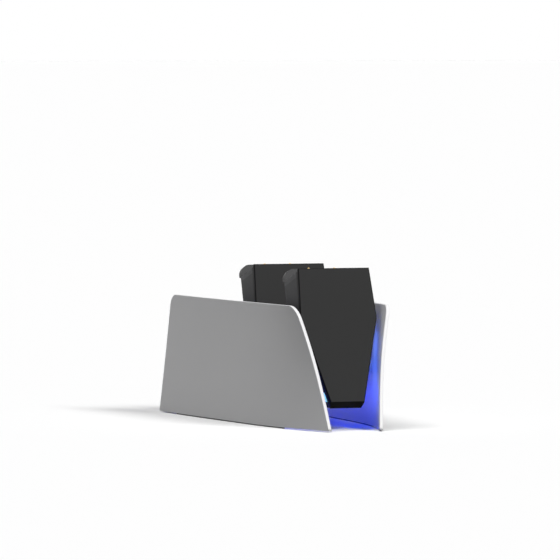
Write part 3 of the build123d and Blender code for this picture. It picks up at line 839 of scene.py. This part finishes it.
def fin_rows(fins, inset):
    """Heights of a fin's rows, with the front end's place at each, set in from the rim."""
    front = cad_box[0].y + inset / cos(fins.lean)
    corner = fins.corner - inset
    middle_z = fins.height - fins.corner
    touch_z = middle_z + corner * sin(fins.lean)

    def edge_y(z):
        return front + (z - fins.foot) * tan(fins.lean)

    middle_y = edge_y(middle_z) + corner / cos(fins.lean)
    straight = [fins.foot + (touch_z - fins.foot) * i / fins.rows for i in range(fins.rows)]
    rows = [(z, edge_y(z)) for z in straight]
    for i in range(fins.corner_turns + 1):
        angle = fins.lean + (pi / 2 - fins.lean) * i / fins.corner_turns
        rows.append((middle_z + corner * sin(angle), middle_y - corner * cos(angle)))
    return rows


def fin_skin(side, fins, outer, inset, depth):
    """Rows of a fin's points, set in from its rim and from its outside."""
    skin = []
    for z, end in fin_rows(fins, inset):
        ys = end * (1 - 2 * np.arange(fins.columns + 1) / fins.columns)
        skin.append([(x, y, z) for x, y in zip(side * (outer(ys, z) - depth), ys)])
    return skin


def round_about(skin):
    """What lies round the edge of rows, in order."""
    rear = [row[-1] for row in skin[1:-1]]
    front = [row[0] for row in skin[1:-1]]
    return skin[0] + rear + skin[-1][::-1] + front[::-1]


def rim_profile(fins):
    """How far the rim is set in at depths from the outside to the inside of the wall."""
    turns = [pi / 2 * i / fins.rim_steps for i in range(fins.rim_steps + 1)]
    near = [(fins.outer_rim * (1 - sin(a)), fins.outer_rim * (1 - cos(a))) for a in turns]
    far = [(fins.inner_rim * (1 - cos(a)), fins.wall - fins.inner_rim * (1 - sin(a))) for a in turns]
    return near + far


def fin_shell(side, fins):
    """Bowed wall of one fin with its rounded rim."""
    outer = fin_surface(fins)
    shape = bmesh.new()
    profile = rim_profile(fins)
    rims = []
    for inset, depth in profile:
        skin = fin_skin(side, fins, outer, inset, depth)
        if (inset, depth) in (profile[0], profile[-1]):
            skin = [[shape.verts.new(point) for point in row] for row in skin]
            for low, high in zip(skin, skin[1:]):
                for i in range(fins.columns):
                    shape.faces.new((low[i], low[i + 1], high[i + 1], high[i]))
            rims.append(round_about(skin))
        else:
            rims.append([shape.verts.new(point) for point in round_about(skin)])
    for near, far in zip(rims, rims[1:]):
        for i in range(len(near)):
            shape.faces.new((near[i - 1], near[i], far[i], far[i - 1]))
    bmesh.ops.recalc_face_normals(shape, faces=shape.faces)
    for face in shape.faces:
        face.smooth = True
    return shape


def fin_bosses(node, side, fins):
    """Screw bosses of a fin: what its solid has inside the bowed wall."""
    outer = fin_surface(fins)
    slack = 0.0002
    shape = merged(node)

    def on_wall(vert):
        return side * vert.co.x > outer(vert.co.y, vert.co.z) - fins.wall - slack

    wall = [face for face in shape.faces if all(on_wall(vert) for vert in face.verts)]
    bmesh.ops.delete(shape, geom=wall, context="FACES")
    for face in shape.faces:
        face.smooth = False
    return shape


class DOCK_OT_fins(bpy.types.Operator):
    """Make the two bowed white fins"""
    bl_idname = "dock.fins"
    bl_label = "Fins"

    def execute(self, context):
        fins = context.scene.dock_fins
        for hand, side in HANDS.items():
            node = f"{hand}_fin"
            shape = fin_shell(side, fins)
            shape.from_mesh(as_mesh(fin_bosses(node, side, fins), f"{node}_bosses"))
            shell = new_piece(f"{hand}_fin_shell", as_mesh(shape, node))
            shell.modifiers.new("even_normals", "WEIGHTED_NORMAL")
            settle(shell)
            stand_for(shell, node, white_shell())
        return {"FINISHED"}


class DOCK_OT_feet(bpy.types.Operator):
    """Finish the rubber foot strips"""
    bl_idname = "dock.feet"
    bl_label = "Foot strips"

    def execute(self, context):
        for hand in HANDS:
            paint_node(f"{hand}_foot_strip", foot_rubber())
        return {"FINISHED"}


def deepen_foot(shape):
    """Draw the front tongue's foot down its lean until it covers the core's nose."""
    top = bpy.context.scene.dock_tongues.foot_top
    lean = bpy.context.scene.dock_fins.lean
    low = min(vert.co.z for vert in shape.verts)
    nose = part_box("core_tray")[0].z
    drop = Vector((0.0, -tan(lean), -1.0)) * (low - nose)
    for vert in shape.verts:
        vert.co += drop * max((top - vert.co.z) / (top - low), 0.0)


class DOCK_OT_tongues(bpy.types.Operator):
    """Finish the dark face plates of both bays"""
    bl_idname = "dock.tongues"
    bl_label = "Tongues"

    def execute(self, context):
        edge = context.scene.dock_tongues.edge
        dress("front_tongue", dark_face(), edge, reshape=deepen_foot)
        dress("rear_tongue", dark_face(), edge)
        return {"FINISHED"}


class DOCK_OT_core(bpy.types.Operator):
    """Finish the black tray, its lid and the seats of both bays"""
    bl_idname = "dock.core"
    bl_label = "Core"

    def execute(self, context):
        for node in ("core_tray", "core_lid"):
            dress(node, black_core(), SOFT_EDGE)
        for bay in BAYS:
            dress(f"{bay}_seat", black_seat(), SOFT_EDGE)
        return {"FINISHED"}


def led_spots(node, side, light):
    """Place and direction of each LED: a row that stands square on the core's flank."""
    low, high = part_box(node)
    wide, tall = high.x - low.x, high.z - low.z
    across = light.led_side * wide - light.led_height * tall
    tilt = atan2(across, light.led_side * tall - light.led_height * wide)
    way = Vector((side * cos(tilt), 0.0, -sin(tilt)))
    base = Vector(((low.x + high.x) / 2, 0.0, (low.z + high.z) / 2)) - way * (light.led_height / 2)
    first = low.y + light.led_side / 2
    step = (high.y - low.y - light.led_side) / (light.led_count - 1)
    return [(base + Vector((0.0, first + step * i, 0.0)), way) for i in range(light.led_count)]


class DOCK_OT_lights(bpy.types.Operator):
    """Finish the light strips with their LEDs and boards"""
    bl_idname = "dock.lights"
    bl_label = "Light strips"

    def execute(self, context):
        light = context.scene.dock_lights
        tree = led_tree()
        sizes = {"Side": light.led_side, "Height": light.led_height}
        for hand, side in HANDS.items():
            dress(f"{hand}_light_strip", light_diffuser(), SOFT_EDGE)
            paint_node(f"{hand}_led_board", circuit_board())
            node = f"{hand}_leds"
            leds = copies(f"{node}_made", tree, sizes, led_body(), led_spots(node, side, light))
            stand_for(leds, node, led_body())
        return {"FINISHED"}


class DOCK_OT_contacts(bpy.types.Operator):
    """Finish the sprung pins, their barrels and boards"""
    bl_idname = "dock.contacts"
    bl_label = "Contacts"

    def execute(self, context):
        for bay in BAYS:
            dress(f"{bay}_pin_barrels", gold_contact(), BARREL_EDGE)
            paint_node(f"{bay}_contact_board", circuit_board())
            for hand in HANDS:
                body = f"{bay}_{hand}_contact"
                dress(f"{bay}_{hand}_pin", gold_contact(), SOFT_EDGE, body)
        return {"FINISHED"}


def finger_spots(node, inlet):
    """Place and direction of each contact finger, above and under the inlet's blade."""
    low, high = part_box(node)
    middle = (low.y + high.y) / 2
    half = (inlet.finger_count - 1) / 2
    spots = []
    for z, way in ((high.z, (0, 0, 1)), (low.z, (0, 0, -1))):
        for i in range(inlet.finger_count):
            spots.append((((i - half) * inlet.finger_pitch, middle, z), way))
    return spots


class DOCK_OT_electronics(bpy.types.Operator):
    """Finish the main board, what stands on it, the inlet and the leads"""
    bl_idname = "dock.electronics"
    bl_label = "Electronics"

    def execute(self, context):
        paint_node("main_board", circuit_board())
        paint_node("charge_chips", chip_black())
        paint_node("power_coil", coil_grey())
        paint_node("capacitors", capacitor_tan())
        dress("usb_shell", nickel_plate(), SHEET_EDGE)
        paint_node("usb_contact_tongue", chip_black())
        inlet = context.scene.dock_inlet
        sizes = {"Width": inlet.finger_width, "Length": inlet.finger_length, "Rise": inlet.finger_rise}
        spots = finger_spots("usb_contact_tongue", inlet)
        fingers = copies("inlet_fingers", finger_tree(), sizes, gold_contact(), spots)
        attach(fingers, BODY)
        for lead in ("front_lead", "rear_lead", "left_led_lead", "right_led_lead"):
            paint_node(lead, lead_sheath())
        return {"FINISHED"}


def upright_spots(node, way, screws):
    """Place, direction and shank length of the two screws of a group that stands along Z."""
    low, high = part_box(node)
    seat = low.z + screws.head_height if way < 0 else high.z - screws.head_height
    reach = high.z - seat if way < 0 else seat - low.z
    places = (low.y + screws.head_radius, high.y - screws.head_radius)
    return [((0.0, y, seat), (0, 0, way)) for y in places], reach


def sideways_spots(node, screws):
    """Place, direction and shank length of the screws whose heads face the middle plane."""
    low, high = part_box(node)
    inner = min(abs(vert.co.x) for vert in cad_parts[node].data.vertices)
    seat = inner + screws.head_height
    ends = (low.y + screws.head_radius, high.y - screws.head_radius)
    places = (ends[0], sum(ends) / 2, ends[1])
    z = (low.z + high.z) / 2
    spots = [((side * seat, y, z), (-side, 0, 0)) for side in HANDS.values() for y in places]
    return spots, high.x - seat


class DOCK_OT_screws(bpy.types.Operator):
    """Make the screws of the lid, the board and the fins"""
    bl_idname = "dock.screws"
    bl_label = "Screws"

    def execute(self, context):
        screws = context.scene.dock_screws
        tree = screw_tree()
        sizes = {
            "Head radius": screws.head_radius,
            "Head height": screws.head_height,
            "Shank radius": screws.shank_radius,
            "Pitch": screws.pitch,
            "Arm reach": screws.arm_reach,
            "Arm width": screws.arm_width,
            "Arm depth": screws.arm_depth,
        }
        groups = {
            "lid_screws": upright_spots("lid_screws", -1, screws),
            "board_screws": upright_spots("board_screws", 1, screws),
            "fin_screws": sideways_spots("fin_screws", screws),
        }
        for group, (spots, reach) in groups.items():
            piece = copies(f"{group}_made", tree, {**sizes, "Shank length": reach}, screw_steel(), spots)
            stand_for(piece, group, screw_steel())
        return {"FINISHED"}


# Stage

def seen_or_lit(bench):
    """1 for rays that show a surface, 0 for those that only light others."""
    path = bench.node("ShaderNodeLightPath", None, None, "Is Camera Ray")
    sockets = path.socket.node.outputs
    shown = path + Wire(bench, sockets["Is Glossy Ray"]) + Wire(bench, sockets["Is Transmission Ray"])
    return shown > 0.5


def floor_finish(stage):
    """Floor that keeps the dock's shadow, with one shade to be seen and one to light the dock."""

    def paint(bench, place):
        lit, seen = [opaque([level] * 3) for level in (stage.floor_lit, stage.floor_seen)]
        shade = bench.mix(seen_or_lit(bench), lit, seen)
        return bench.node("ShaderNodeBsdfDiffuse", None, {"Color": shade})

    return finish("pale_floor", paint)


def lay_floor(stage):
    """Wide pale floor under the dock."""
    signs = ((-1, -1), (1, -1), (1, 1), (-1, 1))
    mesh = bpy.data.meshes.new("floor")
    mesh.from_pydata([(x * FLOOR_REACH, y * FLOOR_REACH, 0) for x, y in signs], [], [(0, 1, 2, 3)])
    floor = new_piece("floor", mesh)
    mesh.materials.append(floor_finish(stage))


def hang_sky(stage):
    """Soft light from all around, brighter where it is seen."""
    world = bpy.data.worlds.new("surroundings")
    bpy.context.scene.world = world
    world.use_nodes = True
    world.node_tree.nodes.clear()
    bench = NodeBench(world.node_tree)
    light = seen_or_lit(bench) * (stage.sky_seen - stage.sky_light) + stage.sky_light
    sky = bench.node("ShaderNodeBackground", None, {"Color": (1.0, 1.0, 1.0, 1.0), "Strength": light})
    bench.node("ShaderNodeOutputWorld", None, {"Surface": sky})


def hang_lamp(name, strength, way, spread):
    """Sun lamp that shines from a direction, with soft shadows."""
    lamp = bpy.data.lights.new(name, "SUN")
    lamp.energy = strength
    lamp.angle = spread
    sun = bpy.data.objects.new(name, lamp)
    bpy.context.scene.collection.objects.link(sun)
    sun.rotation_mode = "QUATERNION"
    sun.rotation_quaternion = Vector(way).to_track_quat("Z", "Y")


def set_camera(stage):
    """Camera at the photograph's place and angle."""
    lens = bpy.data.cameras.new("camera")
    lens.sensor_width = SENSOR_WIDTH
    lens.lens = stage.focal / stage.frame_pixels * lens.sensor_width
    lens.clip_end = VIEW_REACH
    camera = bpy.data.objects.new("camera", lens)
    bpy.context.scene.collection.objects.link(camera)
    camera.location = stage.camera_place
    level = cos(stage.pitch)
    ahead = Vector((sin(stage.heading) * level, cos(stage.heading) * level, -sin(stage.pitch)))
    camera.rotation_mode = "QUATERNION"
    camera.rotation_quaternion = ahead.to_track_quat("-Z", "Y")
    bpy.context.scene.camera = camera


class DOCK_OT_stage(bpy.types.Operator):
    """Lay the floor, hang the lights and set the camera"""
    bl_idname = "dock.stage"
    bl_label = "Stage"

    def execute(self, context):
        stage = context.scene.dock_stage
        context.scene.view_settings.view_transform = "Standard"
        lay_floor(stage)
        hang_sky(stage)
        hang_lamp("key", stage.key_light, stage.key_way, stage.key_spread)
        hang_lamp("fill", stage.fill_light, stage.fill_way, stage.fill_spread)
        hang_lamp("top", stage.top_light, stage.top_way, stage.top_spread)
        set_camera(stage)
        return {"FINISHED"}


OPERATORS = (
    DOCK_OT_fins,
    DOCK_OT_feet,
    DOCK_OT_tongues,
    DOCK_OT_core,
    DOCK_OT_lights,
    DOCK_OT_contacts,
    DOCK_OT_electronics,
    DOCK_OT_screws,
    DOCK_OT_stage,
)


class DOCK_PT_panel(bpy.types.Panel):
    """Steps that dress the dock, in order"""
    bl_idname = "DOCK_PT_panel"
    bl_label = "Charging Dock"
    bl_space_type = "VIEW_3D"
    bl_region_type = "UI"
    bl_category = "Dock"

    def draw(self, context):
        for step in OPERATORS:
            self.layout.operator(step.bl_idname)


SETTINGS = {
    "dock_fins": DockFinSettings,
    "dock_finishes": DockFinishSettings,
    "dock_tongues": DockTongueSettings,
    "dock_lights": DockLightSettings,
    "dock_screws": DockScrewSettings,
    "dock_inlet": DockInletSettings,
    "dock_stage": DockStageSettings,
}


def register():
    """Add the settings, the steps and the panel."""
    for name, group in SETTINGS.items():
        bpy.utils.register_class(group)
        setattr(bpy.types.Scene, name, PointerProperty(type=group))
    for step in (*OPERATORS, DOCK_PT_panel):
        bpy.utils.register_class(step)


def unregister():
    """Take the panel, the steps and the settings away."""
    for step in reversed((*OPERATORS, DOCK_PT_panel)):
        bpy.utils.unregister_class(step)
    for name, group in SETTINGS.items():
        delattr(bpy.types.Scene, name)
        bpy.utils.unregister_class(group)


def main():
    """Add the settings and the steps, dress the dock and set its stage."""
    register()
    for step in OPERATORS:
        family, name = step.bl_idname.split(".")
        getattr(getattr(bpy.ops, family), name)()


if __name__ == "__main__":
    main()
